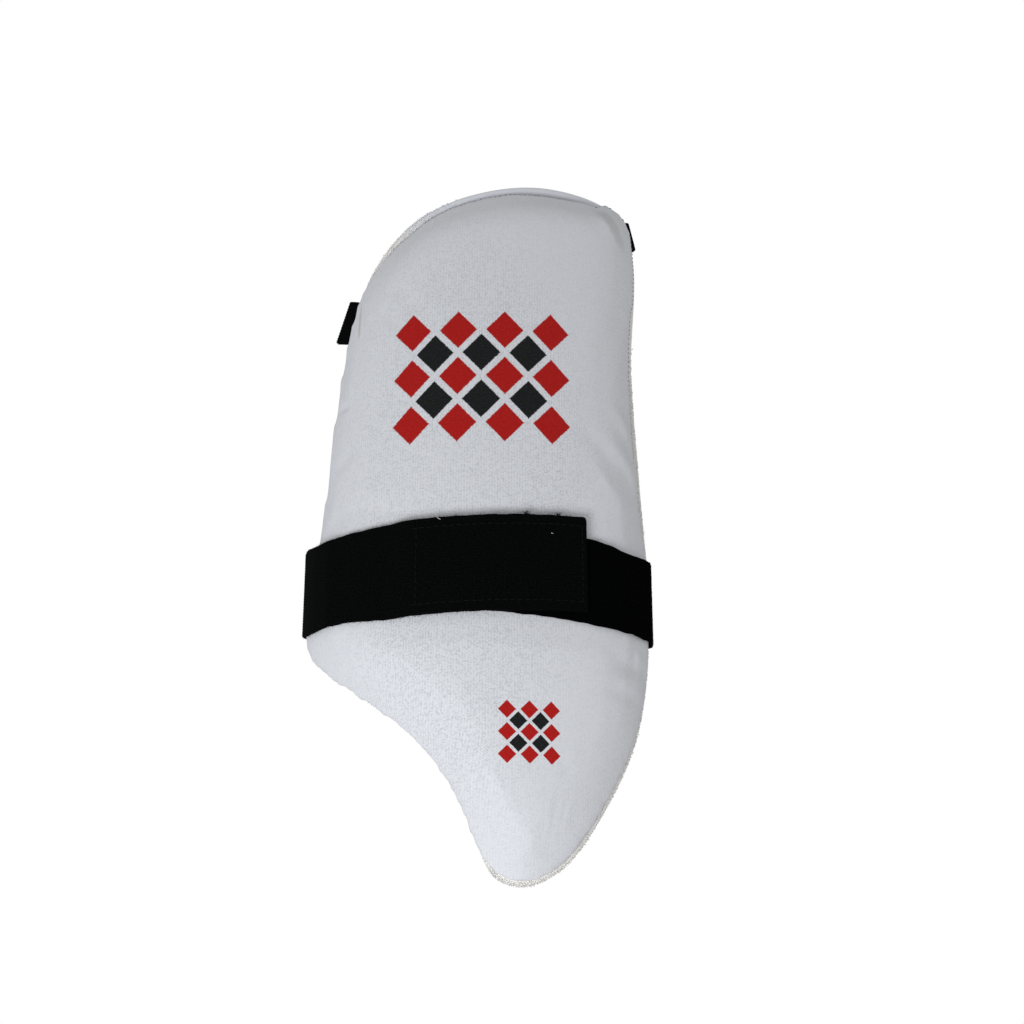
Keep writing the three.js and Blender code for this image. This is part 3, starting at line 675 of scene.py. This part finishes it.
in_seam = (bearing_of(outline) > SEAM_BEARINGS[0]) & (bearing_of(outline) < SEAM_BEARINGS[1])
in_seam &= np.diff(np.floor(round_outline / SEAM_STITCH["spacing"]), prepend=0) > 0
seam_starts = outline[in_seam] + inward[in_seam] * SEAM_DEPTH
seam_ends = seam_starts + tangent[in_seam] * SEAM_STITCH["length"]
seam_rise = np.sin(math.pi * STITCH_SHARES)[:, None] * SEAM_STITCH["rise"]
seam_heights = np.full(len(seam_starts), SEAM_HEIGHT)
seam_paths = []
for ends in zip(wrapped(*seam_starts.T, seam_heights), wrapped(*seam_ends.T, seam_heights)):
    (start, normal), (end, _) = (pad_tree.find_nearest(place)[:2] for place in ends)
    straight = np.array(start) + STITCH_SHARES[:, None] * np.array(end - start)
    seam_paths.append(straight + seam_rise * np.array(normal))
seam_stitches = thread_mesh("seam_stitches", np.array(seam_paths), SEAM_STITCH["thread"], sides=5)

# Grey cotton thread, darkened to paint the shade in the groove between the cover and the rim: matt,
# and a little uneven in tone along its twist.
thread_with_painted_shade = mottled("cotton_thread_with_painted_shade", THREAD_TWIST, ("#63676e", "#898d93"), roughness=0.9, specular=0.5)
seam_stitches.data.materials.append(thread_with_painted_shade)

# The loop tape: black nylon tape, 45 mm wide, sewn to the right of the front and round the right edge.
# Its face is a dense nap of fine loops that the strap's hooks hold on to.
TAPE_WIDTH = 45 * MM
TAPE_THICKNESS = 1.2 * MM
TAPE_CELLS = 40
TAPE_STEP = 2 * MM
TAPE_UNEVEN = 0.3 * MM
# How the tape's edges rise where it turns round the right edge, and dip a little before that.
TAPE_TOP_RISE = {"rise": 2.2 * MM, "reach": 12 * MM}
TAPE_BOTTOM_RISE = {"rise": 2.6 * MM, "reach": 22 * MM}
TAPE_DIP = {"depth": 2.3 * MM, "before": 34 * MM, "reach": 11 * MM}
TAPE_LEVEL_BEHIND = 40 * MM
EDGE_ROUND = 0.4 * MM
EDGE_ANGLE = math.radians(50)
NAP_LOOP = {"spacing": 1.2 * MM, "span": 0.9 * MM, "rise": 0.5 * MM, "sunk": 0.2 * MM, "points": 4}
NAP_THREAD = 0.13 * MM
NAP_SCATTER = 0.4
NAP_START = 70 * MM
NAP_PAST_FOLD = 12 * MM
NAP_SIDE = 22 * MM
INNER_POINT_EDGES = 6


def beside(point):
    """The points that share an edge with a mesh's point."""
    return {edge.other_vert(point) for edge in point.link_edges}


def run_along(middle, out, side):
    """A band's run from its middle line, with the ways that it faces and leans at each point."""
    steps = np.diff(middle, axis=0)
    ahead = np.cross(side, out)
    ahead *= np.sign(np.sum(ahead[0] * steps[0]))
    length = np.concatenate(([0], np.cumsum(np.linalg.norm(steps, axis=1))))
    return {"middle": middle, "out": out, "side": side, "ahead": ahead, "length": length}


def run_of(node, start, inside):
    """The run of a flat band's solid, from the end nearest start, facing away from a point inside.
    Only the solid's end corners have few edges, and its other four-cornered rings follow from there."""
    mesh = bmesh.new()
    mesh.from_mesh(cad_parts[node].data)
    bmesh.ops.remove_doubles(mesh, verts=mesh.verts, dist=0.001 * MM)
    start, inside = Vector(start) * MM, Vector(inside) * MM
    ends = {point for point in mesh.verts if len(point.link_edges) < INNER_POINT_EDGES}
    nearest = min(ends, key=lambda point: (point.co - start).length)
    ring = {nearest} | (beside(nearest) & ends)
    ring |= set().union(*(beside(point) & ends for point in ring))
    others = ring - {nearest}
    mate = min(others, key=lambda point: (point.co - nearest.co).length)
    pairs = sorted(([nearest, mate], list(others - {mate})), key=lambda pair: pair[0].co.y)
    low, high = (sorted(pair, key=lambda point: (point.co - inside).length) for pair in pairs)
    corners = [[low[0], high[0], low[1], high[1]]]
    used = set(ring)
    while len(used) < len(mesh.verts):
        ring = set().union(*(beside(point) for point in corners[-1])) - used
        corners.append(min(permutations(ring), key=lambda order: sum(
            (a.co - b.co).length for a, b in zip(order, corners[-1]))))
        used |= ring
    rings = np.array([[point.co[:] for point in row] for row in corners])
    mesh.free()
    out = unit(rings[:, 2:].mean(axis=1) - rings[:, :2].mean(axis=1))
    side = unit(rings[:, (1, 3)].mean(axis=1) - rings[:, (0, 2)].mean(axis=1))
    return run_along(rings.mean(axis=1), out, side)


def on_run(run, along, across, lift):
    """Points of a band by their length along it, their place across it and their lift off its middle."""
    k = np.clip(np.searchsorted(run["length"], along, side="right") - 1, 0, len(run["length"]) - 2)
    step = run["length"][k + 1] - run["length"][k]
    t = ((along - run["length"][k]) / step)[:, None]
    lead, trail = run["ahead"][k] * step[:, None], run["ahead"][k + 1] * step[:, None]
    middle = ((2 * t ** 3 - 3 * t ** 2 + 1) * run["middle"][k] + (t ** 3 - 2 * t ** 2 + t) * lead
              + (3 * t ** 2 - 2 * t ** 3) * run["middle"][k + 1] + (t ** 3 - t ** 2) * trail)
    out = unit((1 - t) * run["out"][k] + t * run["out"][k + 1])
    side = unit((1 - t) * run["side"][k] + t * run["side"][k + 1])
    return middle + side * across[:, None] + out * lift[:, None]


def laid_band(name, run, size, cells, step, shaped):
    """A flat strip of webbing, laid along a run after its weave is shaped, and given its thickness."""
    width, thickness = size
    length = run["length"][-1]
    bpy.ops.mesh.primitive_grid_add(x_subdivisions=cells, y_subdivisions=round(length / step), size=1)
    piece = bpy.context.object
    piece.name = piece.data.name = name
    places = points_of(piece.data)
    across, along = places[:, 0] * width, (places[:, 1] + 0.5) * length
    set_cloth_places(piece.data, across, along)
    move_points(piece.data, on_run(run, *shaped(along, across)))
    finish_with(piece, "SOLIDIFY", thickness=thickness, offset=0, use_even_offset=True)
    finish_with(piece, "BEVEL", width=EDGE_ROUND, segments=2, limit_method="ANGLE", angle_limit=EDGE_ANGLE)
    bpy.ops.object.shade_smooth()
    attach(piece, "root")
    return piece


tape_run = run_of("loop_tape", (-30, -40, 60), (0, -40, 20))
tape_fold = tape_run["length"][np.argmax(tape_run["middle"][:, 0])]


def tape_shape(along, across):
    """The tape's uneven edges, and how it narrows and rides up where it turns round the right edge."""
    share = across / TAPE_WIDTH + 0.5
    to_fold = tape_fold - along
    behind = 1 - smooth_step(-to_fold, 0, TAPE_LEVEL_BEHIND)
    top, bottom = (edge["rise"] * np.where(to_fold > 0, np.exp(-(to_fold / edge["reach"]) ** 2), behind)
                   for edge in (TAPE_TOP_RISE, TAPE_BOTTOM_RISE))
    top -= TAPE_DIP["depth"] * np.exp(-((to_fold - TAPE_DIP["before"]) / TAPE_DIP["reach"]) ** 2)
    waver = np.where(share > 0.5, wavering(along, 2), wavering(along, 6))
    uneven = TAPE_UNEVEN * waver * (2 * share - 1) ** 8
    return along, across + bottom * (1 - share) + top * share + uneven, np.zeros_like(along)


loop_tape = laid_band("loop_tape_ground", tape_run, (TAPE_WIDTH, TAPE_THICKNESS), TAPE_CELLS, TAPE_STEP,
                      tape_shape)
nap_rows = np.arange(NAP_START, tape_fold + NAP_PAST_FOLD, NAP_LOOP["spacing"])
nap_columns = np.arange(-NAP_SIDE, NAP_SIDE + 0.1 * MM, NAP_LOOP["spacing"])
napped = np.stack(np.meshgrid(nap_rows, nap_columns), axis=-1).reshape(-1, 2)
napped = napped + draw.uniform(-NAP_SCATTER, NAP_SCATTER, napped.shape) * NAP_LOOP["spacing"]
nap_along, nap_across, _ = tape_shape(*napped.T)
feet = on_run(tape_run, nap_along, nap_across, np.full(len(napped), TAPE_THICKNESS / 2))
up = unit(feet - on_run(tape_run, nap_along, nap_across, np.zeros(len(napped))))
tape_nap = thread_mesh("loop_tape_nap", loop_paths(feet, up, NAP_LOOP), NAP_THREAD)

# Black nylon nap: soft fine loops that give back nearly no light.
NAP_TUFT = 1.5 * MM
nap = mottled("black_nylon_nap", NAP_TUFT, ("#010101", "#060707"), roughness=1, specular=0.02, detail=3)
for piece in (loop_tape, tape_nap):
    piece.data.materials.append(nap)
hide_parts("loop_tape")

# The hook patch: a strip of stiff black nylon hook tape, sewn under the strap's free end, where it grips
# the loop tape. Only its edges show.
PATCH_WIDTH = 42 * MM
PATCH_THICKNESS = 1 * MM
HOOK_SPACING = 1.2 * MM


def patch_shape(along, across):
    """The patch is cut straight and lies flat."""
    return along, across, np.zeros_like(along)


patch_run = run_of("hook_patch", (60, -40, 60), (0, -40, 20))
hook_patch = laid_band("hook_patch_strip", patch_run, (PATCH_WIDTH, PATCH_THICKNESS), TAPE_CELLS, TAPE_STEP,
                       patch_shape)

# Black nylon hooks: a stiff tape, harder and a little shinier than the nap.
hooks, tree, shader = new_material("black_nylon_hooks")
place = add(tree, "UVMap", uv_map="flat_cloth").outputs["UV"]
hook_rows = add(tree, "TexNoise", {"Vector": place, "Scale": 1 / HOOK_SPACING})
hook_colour = add(tree, "MixRGB", {"Fac": hook_rows.outputs["Fac"], "Color1": colour("#020202"),
                                   "Color2": colour("#0a0a0a")})
tree.links.new(hook_colour.outputs[0], shader.inputs["Base Color"])
shader.inputs["Roughness"].default_value = 0.7
shader.inputs["Specular IOR Level"].default_value = 0.1
hook_patch.data.materials.append(hooks)
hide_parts("hook_patch")

# The leg strap: black woven elastic, 50 mm wide, with fine ribs along it and a firm edge. It is sewn
# behind the right edge, goes taut round the back and over the front, and its free end closes there.
STRAP_WIDTH = 50 * MM
STRAP_THICKNESS = 1.6 * MM
RIB_SPACING = 1.6 * MM
RIB_HEIGHT = 0.12 * MM
STRAP_CELLS = 124
STRAP_STEP = 2 * MM
END_CORNER = 2.2 * MM
END_FADE = 6 * MM
STRAP_UNEVEN = 0.22 * MM
# How the strap's edges rise towards the left fold, how its top dips before it, and the corner that is
# pinched in at the fold itself.
STRAP_TOP_RISE = {"rise": 3.4 * MM, "fade": 14 * MM}
STRAP_BOTTOM_RISE = {"rise": 2.6 * MM, "level": (35 * MM, 72 * MM), "fade": 8 * MM}
STRAP_DIP = {"depth": 1.9 * MM, "before": 25 * MM, "reach": 26 * MM}
STRAP_PINCH = {"depth": 2.6 * MM, "reach": 4 * MM, "shares": (0.8, 1)}
STRAP_LEVEL_BEHIND = 120 * MM
leg_run = run_of("leg_strap", (60, -40, 60), (0, -40, 20))
left_fold = leg_run["length"][np.argmin(leg_run["middle"][:, 0])]


def strap_shape(along, across):
    """The ribs of the elastic, its uneven edges, its rise and pinch at the left fold and its rounded end."""
    ribs = RIB_HEIGHT * np.cos(2 * math.pi * across / RIB_SPACING)
    share = across / STRAP_WIDTH + 0.5
    to_fold = left_fold - along
    behind = 1 - smooth_step(-to_fold, 0, STRAP_LEVEL_BEHIND)
    ahead = np.maximum(to_fold, 0)
    top = STRAP_TOP_RISE["rise"] * np.exp(-ahead / STRAP_TOP_RISE["fade"]) * behind
    top -= STRAP_DIP["depth"] * np.exp(-((to_fold - STRAP_DIP["before"]) / STRAP_DIP["reach"]) ** 2)
    near_fold = 1 - smooth_step(ahead, *STRAP_BOTTOM_RISE["level"])
    near_fold += np.exp(-ahead / STRAP_BOTTOM_RISE["fade"])
    bottom = STRAP_BOTTOM_RISE["rise"] * near_fold * behind
    pinch = STRAP_PINCH["depth"] * np.exp(-(to_fold / STRAP_PINCH["reach"]) ** 2)
    corner = pinch * smooth_step(share, *STRAP_PINCH["shares"])
    waver = np.where(share > 0.5, wavering(along, 1), wavering(along, 4))
    uneven = STRAP_UNEVEN * waver * (2 * share - 1) ** 8
    into_corner = np.clip(END_CORNER - (STRAP_WIDTH / 2 - across), 0, END_CORNER)
    round_off = END_CORNER - np.sqrt(np.maximum(END_CORNER ** 2 - into_corner ** 2, 0))
    new_across = across + bottom * (1 - share) + top * share - corner + uneven
    return along + round_off * np.exp(-along / END_FADE), new_across, ribs


leg_strap = laid_band("elastic_leg_strap", leg_run, (STRAP_WIDTH, STRAP_THICKNESS), STRAP_CELLS, STRAP_STEP,
                      strap_shape)

# Black woven elastic: matt synthetic threads over rubber, nearly black, uneven in tone from one thread to
# the next, each about 0.8 mm wide and showing for 1 mm.
ELASTIC_THREAD = (0.8 * MM, 1 * MM)
ELASTIC_DEPTH = 0.15 * MM
elastic, tree, shader = new_material("black_elastic")
place = add(tree, "UVMap", uv_map="flat_cloth").outputs["UV"]
picks = add(tree, "Mapping", {"Vector": place, "Scale": (1 / ELASTIC_THREAD[0], 1 / ELASTIC_THREAD[1], 1)})
threads = add(tree, "TexNoise", {"Vector": picks.outputs[0], "Scale": 1, "Detail": 2})
pick_tone = add(tree, "MapRange", {"Value": threads.outputs["Fac"], "From Min": 0.3, "From Max": 0.7})
elastic_colour = add(tree, "MixRGB", {"Fac": pick_tone.outputs[0], "Color1": colour("#000000"),
                                      "Color2": colour("#0a0b0b")})
tree.links.new(elastic_colour.outputs[0], shader.inputs["Base Color"])
shader.inputs["Roughness"].default_value = 0.85
shader.inputs["Specular IOR Level"].default_value = 0.03
elastic_bump = add(tree, "Bump", {"Height": threads.outputs["Fac"], "Strength": 0.5,
                                  "Distance": ELASTIC_DEPTH})
tree.links.new(elastic_bump.outputs[0], shader.inputs["Normal"])
leg_strap.data.materials.append(elastic)
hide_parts("leg_strap")

# The strap's sewing and loose fibres: rows of black stitches hold the hook patch, fine black hairs stand
# out of the woven edges and in two frayed tufts above, and a pale loose thread and a bit of lint cling to it.
STITCH = {"length": 2.6 * MM, "spacing": 3.8 * MM, "rise": 0.3 * MM, "sunk": 0.1 * MM, "thread": 0.18 * MM}
STITCH_INSET = 5 * MM
ROW_START = 3 * MM
END_ROW = 2.5 * MM
PATCH_LENGTH = patch_run["length"][-1]
HAIRS = 500
HAIR_START = 2 * MM
HAIR_SLANT = 0.8 * MM
HAIR_REACH = (0.3 * MM, 1.1 * MM)
HAIR_THREAD = 0.05 * MM
FRAYS = np.array((14.7, 31.6)) * MM
FRAY_HAIRS = 45
FRAY_SPREAD = 0.5 * MM
FRAY_SLANT = 1.1 * MM
FRAY_REACH = (0.6 * MM, 2.2 * MM)
LINT = {
    "along": np.array((76.4, 18.5)) * MM,
    "across": np.array((24.8, 15)) * MM,
    "heading": np.radians((50, 20)),
    "half": np.array((2.2, 0.5)) * MM,
}
LINT_CURL = 0.25
LINT_LIFT = 0.25 * MM
LINT_THREAD = 0.13 * MM


def strap_stitches(along, across, along_step, across_step):
    """Arched stitches on the strap's face, from places on it and the steps that each takes."""
    shares = STITCH_SHARES[None, :]
    lift = STRAP_THICKNESS / 2 - STITCH["sunk"] + STITCH["rise"] * np.sin(math.pi * shares)
    places = np.broadcast_arrays(along[:, None] + along_step * shares,
                                 across[:, None] + across_step * shares, lift)
    shaped = strap_shape(*(part.ravel() for part in places[:2]))
    return on_run(leg_run, shaped[0], shaped[1], places[2].ravel()).reshape(len(along), -1, 3)


row = np.arange(ROW_START, PATCH_LENGTH, STITCH["spacing"])
inset_line = STRAP_WIDTH / 2 - STITCH_INSET
column = np.arange(-inset_line, inset_line, STITCH["spacing"])
stitch_paths = np.concatenate((
    strap_stitches(row, np.full_like(row, inset_line), STITCH["length"], 0),
    strap_stitches(row, np.full_like(row, -inset_line), STITCH["length"], 0),
    strap_stitches(np.full_like(column, PATCH_LENGTH), column, 0, STITCH["length"]),
    strap_stitches(np.full_like(column, END_ROW), column, 0, STITCH["length"]),
))
strap_sewing = thread_mesh("strap_stitches", stitch_paths, STITCH["thread"], sides=5)

hair_along = draw.uniform(HAIR_START, left_fold, HAIRS)
hair_side = draw.choice((-1, 1), HAIRS)
hair_slant = draw.normal(0, HAIR_SLANT, HAIRS)
hair_reach = draw.uniform(*HAIR_REACH, HAIRS)
fray_along = np.repeat(FRAYS, FRAY_HAIRS)
frays = len(fray_along)
hair_along = np.append(hair_along, fray_along + draw.normal(0, FRAY_SPREAD, frays))
hair_side = np.append(hair_side, np.ones(frays))
hair_slant = np.append(hair_slant, draw.normal(0, FRAY_SLANT, frays))
hair_reach = np.append(hair_reach, draw.uniform(*FRAY_REACH, frays))
hair_lift = draw.uniform(-0.5, 0.5, HAIRS + frays) * STRAP_THICKNESS
shaped_along, shaped_across, _ = strap_shape(hair_along, hair_side * STRAP_WIDTH / 2)
hair_paths = []
for share in np.linspace(0, 1, 4):
    hair_paths.append(on_run(leg_run, np.maximum(shaped_along + hair_slant * share ** 2, 0),
                             shaped_across + hair_side * hair_reach * share, hair_lift))
strap_hairs = thread_mesh("strap_hairs", np.stack(hair_paths, axis=1), HAIR_THREAD)

lint_paths = []
for share in np.linspace(-1, 1, 7):
    curl = LINT["heading"] + LINT_CURL * share
    lint_paths.append(on_run(leg_run, LINT["along"] + LINT["half"] * share * np.cos(curl),
                             LINT["across"] + LINT["half"] * share * np.sin(curl),
                             np.full_like(curl, STRAP_THICKNESS / 2 + LINT_LIFT)))
strap_lint = thread_mesh("strap_lint", np.stack(lint_paths, axis=1), LINT_THREAD)

# Black polyester thread: smoother than the elastic, so that the stitches catch a little more light.
black_thread = mottled("black_polyester_thread", THREAD_TWIST, ("#030404", "#090a0a"), roughness=0.6,
                       specular=0.15)
strap_sewing.data.materials.append(black_thread)
strap_hairs.data.materials.append(elastic)
strap_lint.data.materials.append(terry)

# The waist tab: a short piece of 25 mm elastic, folded double and sewn behind the left edge, with its
# fold outwards.
WAIST_WIDTH = 25 * MM
WAIST_THICKNESS = 1.5 * MM
WAIST_UNEVEN = 0.2 * MM
WAIST_CELLS = 62
TAB_STEP = 1.2 * MM
TAB_LEAN = 0.1
FOLD_RADIUS = 0.78 * MM
FOLD_POINTS = 7
FLAT_POINTS = 12


def waist_shape(along, across):
    """The ribs and uneven edges of the narrow elastic."""
    ribs = RIB_HEIGHT * np.cos(2 * math.pi * across / RIB_SPACING)
    share = across / (WAIST_WIDTH / 2)
    return along, across + WAIST_UNEVEN * share ** 9 * wavering(along, 3), ribs


def folded_run(run):
    """A run that goes out along the under side of another, round a fold at its start, and back over it."""
    inner = run["length"][-1]
    turn = np.linspace(-math.pi / 2, math.pi / 2, FOLD_POINTS)
    out_leg = np.linspace(inner, FOLD_RADIUS * 2, FLAT_POINTS)
    along = np.concatenate((out_leg, FOLD_RADIUS * (1 - np.cos(turn)), out_leg[::-1]))
    flat = np.full(FLAT_POINTS, math.pi / 2)
    turn = np.concatenate((-flat, turn, flat))
    lift = FOLD_RADIUS * np.sin(turn)
    none = np.zeros_like(along)
    middle = on_run(run, along, none, lift)
    base = on_run(run, along, none, none)
    out_way = unit(on_run(run, along, none, none + MM) - base)
    side = unit(on_run(run, along, none + MM, none) - base)
    ahead = unit(np.cross(out_way, side))
    ahead *= np.sign(np.sum(ahead * (base[0] - base[FLAT_POINTS - 1]), axis=1, keepdims=True))
    out = out_way * np.sin(turn)[:, None] + ahead * -np.cos(turn)[:, None]
    return run_along(middle, out, side)


tab_run = run_of("waist_tab", (-90, 130, 5), (-70, 120, 90))
tab_run["side"] = unit(tab_run["side"] + TAB_LEAN * tab_run["ahead"])
tab_run = folded_run(tab_run)
waist_tab = laid_band("elastic_waist_tab", tab_run, (WAIST_WIDTH, WAIST_THICKNESS), WAIST_CELLS, TAB_STEP,
                      waist_shape)
waist_tab.data.materials.append(elastic)
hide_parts("waist_tab")

# The waist strap: 25 mm elastic, sewn behind the top right corner, where it is folded under and gathered,
# and lying slack across behind to the tab.
WAIST_STEP = 0.8 * MM
WAIST_GATHER = 8.5 * MM
WAIST_GATHER_FADE = 14 * MM
FOLD_REACH = 5 * MM
FOLD_LEAN = 0.16
FOLD_SHIFT = 0.9 * MM
# Past its fold the strap takes the slope of its own middle line, as it climbs off the table to the tab.
# The fold itself leans and sits a little further out than the solid's.
waist_run = run_of("waist_strap", (70, 175, 10), (60, 170, 90))
waist_fold = waist_run["length"][np.argmax(waist_run["middle"][:, 0])]
past_fold = waist_run["length"] > waist_fold + FOLD_REACH
slope = unit(np.gradient(waist_run["middle"], waist_run["length"], axis=0))
waist_run["ahead"] = np.where(past_fold[:, None], slope, waist_run["ahead"])
outward = waist_run["ahead"][0]
waist_run["side"][~past_fold] = unit(waist_run["side"][~past_fold] + FOLD_LEAN * outward)
waist_run["middle"][~past_fold] += FOLD_SHIFT * outward


def waist_strap_shape(along, across):
    """The narrow elastic, with its upper edge drawn in round its fold."""
    along, across, ribs = waist_shape(along, across)
    gather = WAIST_GATHER * np.exp(-((along - waist_fold) / WAIST_GATHER_FADE) ** 2)
    return along, across - gather * (across / WAIST_WIDTH + 0.5), ribs


waist_strap = laid_band("elastic_waist_strap", waist_run, (WAIST_WIDTH, WAIST_THICKNESS), WAIST_CELLS,
                        WAIST_STEP, waist_strap_shape)
waist_strap.data.materials.append(elastic)
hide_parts("waist_strap")
